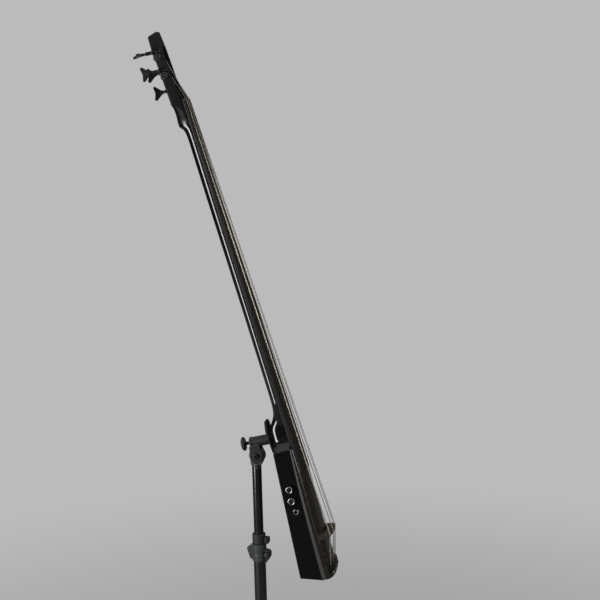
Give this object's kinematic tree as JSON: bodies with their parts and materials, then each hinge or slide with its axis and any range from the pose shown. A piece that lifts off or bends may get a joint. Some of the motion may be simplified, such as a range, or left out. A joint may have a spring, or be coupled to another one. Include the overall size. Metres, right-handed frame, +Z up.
{
  "type": "electric upright bass on tripod stand",
  "caption": "Slim solid-body electric upright double bass with arched top, worm tuners and side controls, leaning on a tilting, telescopic folding tripod stand.",
  "frame": {"origin": "centre of the footprint on the floor; the stand's pole stands 40.1 mm behind it", "axes": "+Z up; -Y the side the strings face; +Y the player's side; -X the low-string side with the controls"},
  "size_m": [0.578, 0.5782, 1.8428],
  "materials": {
    "neck_lacquer": "gloss black lacquer over maple",
    "ebony": "oiled ebony, fine dark grain",
    "nut_bone": "polished black composite",
    "top_lacquer": "gloss translucent black stain over figured maple",
    "body_black": "satin black lacquer",
    "cover_plastic": "fine-textured black plastic",
    "steel": "plain steel",
    "black_screws": "black-oxide steel",
    "insert_metal": "dark plated steel",
    "cast_black": "satin black powder coat over cast alloy",
    "cast_grey": "dark grey satin cast alloy",
    "bridge_wood": "black-stained maple",
    "piezo": "brass-cased piezo",
    "anchor_metal": "black plated brass",
    "string_steel": "flat-wound steel",
    "pot_metal": "plated steel",
    "jack_metal": "nickel plated",
    "board_green": "solder-masked board",
    "battery_case": "wrapped battery, no marks",
    "wire_red": "PVC insulated wire",
    "tuner_plate": "black plated brass",
    "tuner_gear": "dark plated brass wheel",
    "tuner_key": "black plated, worn at the edges",
    "knob_black": "black with a bright worn rim",
    "grip_plastic": "moulded black plastic",
    "tube_gloss": "gloss black powder coat",
    "tube_satin": "satin black powder coat",
    "collar_plastic": "glass-filled black plastic",
    "clamp_plastic": "glass-filled dark grey plastic",
    "bushing_plastic": "acetal",
    "hub_plastic": "glass-filled black plastic",
    "foot_rubber": "black rubber"
  },
  "bodies": {
    "stand_base": {"lower_tube": "tube_satin", "tube_bushing": "bushing_plastic", "height_clamp": "clamp_plastic", "tripod_hub": "hub_plastic", "leg_pins": "steel"},
    "front_leg": {"leg_front": "tube_satin", "foot_front": "foot_rubber"},
    "left_leg": {"leg_left": "tube_satin", "foot_left": "foot_rubber"},
    "right_leg": {"leg_right": "tube_satin", "foot_right": "foot_rubber"},
    "height_screw": {"height_knob": "grip_plastic"},
    "upper_pole": {"upper_tube": "tube_gloss", "tube_tongue": "cast_grey", "cross_screw": "black_screws", "tilt_bolt": "black_screws", "stop_collar": "collar_plastic"},
    "collar_screw": {"collar_knob": "grip_plastic"},
    "bass": {"neck_and_head": "neck_lacquer", "truss_rod": "steel", "fingerboard": "ebony", "nut": "nut_bone", "carved_top": "top_lacquer", "body_core": "body_black", "back_cover": "cover_plastic", "cover_screws": "black_screws", "neck_bolts": "steel", "stand_insert": "insert_metal", "stand_head": "cast_black", "bridge": "bridge_wood", "bridge_pickups": "piezo", "anchor_bar": "anchor_metal", "anchor_screws": "black_screws", "e_string": "string_steel", "a_string": "string_steel", "d_string": "string_steel", "g_string": "string_steel", "control_pots": "pot_metal", "output_jack": "jack_metal", "preamp_board": "board_green", "battery": "battery_case", "wiring": "wire_red", "tuner_brackets": "tuner_plate", "tuner_screws": "black_screws"},
    "mounting_screw": {"mounting_knob": "grip_plastic"},
    "volume": {"volume_knob": "knob_black"},
    "tone": {"tone_knob": "knob_black"},
    "key_a": {"tuner_key_a": "tuner_key"},
    "roller_a": {"post_a": "tuner_gear"},
    "key_d": {"tuner_key_d": "tuner_key"},
    "roller_d": {"post_d": "tuner_gear"},
    "key_e": {"tuner_key_e": "tuner_key"},
    "roller_e": {"post_e": "tuner_gear"},
    "key_g": {"tuner_key_g": "tuner_key"},
    "roller_g": {"post_g": "tuner_gear"}
  },
  "joints": [
    {"name": "front_leg_fold", "type": "hinge", "parent": "stand_base", "child": "front_leg", "pos_m": [0, 0.0001, 0.15], "axis": [1, 0, 0], "range_deg": [0, 64]},
    {"name": "left_leg_fold", "type": "hinge", "parent": "stand_base", "child": "left_leg", "pos_m": [-0.03464, 0.0601, 0.15], "axis": [-0.5, -0.866, 0], "range_deg": [0, 64]},
    {"name": "right_leg_fold", "type": "hinge", "parent": "stand_base", "child": "right_leg", "pos_m": [0.03464, 0.0601, 0.15], "axis": [-0.5, 0.866, 0], "range_deg": [0, 64]},
    {"name": "height_slide", "type": "slide", "parent": "stand_base", "child": "upper_pole", "axis": [0, 0, 1], "range_m": [0, 0.18]},
    {"name": "height_knob_turn", "type": "hinge", "parent": "stand_base", "child": "height_screw", "pos_m": [0, 0.0171, 0.602], "axis": [1, 0, 0], "range_deg": [-360, 0]},
    {"name": "collar_knob_turn", "type": "hinge", "parent": "upper_pole", "child": "collar_screw", "pos_m": [0, 0.0193, 0.636], "axis": [1, 0, 0], "range_deg": [-360, 0]},
    {"name": "head_tilt", "type": "hinge", "parent": "upper_pole", "child": "bass", "pos_m": [0, 0.0373, 0.847], "axis": [1, 0, 0], "range_deg": [-15, 9]},
    {"name": "mounting_knob_turn", "type": "hinge", "parent": "bass", "child": "mounting_screw", "pos_m": [0, -0.00558, 0.88986], "axis": [0, 0.9757, -0.219], "range_deg": [-720, 0]},
    {"name": "volume_turn", "type": "hinge", "parent": "bass", "child": "volume", "pos_m": [-0.05277, -0.05019, 0.78223], "axis": [-1, 0, 0], "range_deg": [-140, 140]},
    {"name": "tone_turn", "type": "hinge", "parent": "bass", "child": "tone", "pos_m": [-0.05363, -0.05491, 0.75494], "axis": [-1, 0, 0], "range_deg": [-140, 140]},
    {"name": "key_a_turn", "type": "hinge", "parent": "bass", "child": "key_a", "pos_m": [-0.0273, 0.23579, 1.79677], "axis": [0, 0.9828, -0.1848], "continuous": true},
    {"name": "roller_a_turn", "type": "hinge", "parent": "bass", "child": "roller_a", "pos_m": [0, 0.23366, 1.78547], "axis": [1, 0, 0], "continuous": true},
    {"name": "key_d_turn", "type": "hinge", "parent": "bass", "child": "key_d", "pos_m": [0.0273, 0.22428, 1.75337], "axis": [0, 0.9828, -0.1848], "continuous": true},
    {"name": "roller_d_turn", "type": "hinge", "parent": "bass", "child": "roller_d", "pos_m": [0, 0.2264, 1.76467], "axis": [1, 0, 0], "continuous": true},
    {"name": "key_e_turn", "type": "hinge", "parent": "bass", "child": "key_e", "pos_m": [-0.0273, 0.22107, 1.75524], "axis": [0, 0.9828, -0.1848], "continuous": true},
    {"name": "roller_e_turn", "type": "hinge", "parent": "bass", "child": "roller_e", "pos_m": [0, 0.21895, 1.74394], "axis": [1, 0, 0], "continuous": true},
    {"name": "key_g_turn", "type": "hinge", "parent": "bass", "child": "key_g", "pos_m": [0.0273, 0.20956, 1.71185], "axis": [0, 0.9828, -0.1848], "continuous": true},
    {"name": "roller_g_turn", "type": "hinge", "parent": "bass", "child": "roller_g", "pos_m": [0, 0.21169, 1.72315], "axis": [1, 0, 0], "continuous": true}
  ],
  "couplings": [
    {"joint": "roller_a_turn", "follows": "key_a_turn", "ratio": 0.055556},
    {"joint": "roller_d_turn", "follows": "key_d_turn", "ratio": 0.055556},
    {"joint": "roller_e_turn", "follows": "key_e_turn", "ratio": 0.055556},
    {"joint": "roller_g_turn", "follows": "key_g_turn", "ratio": 0.055556}
  ]
}
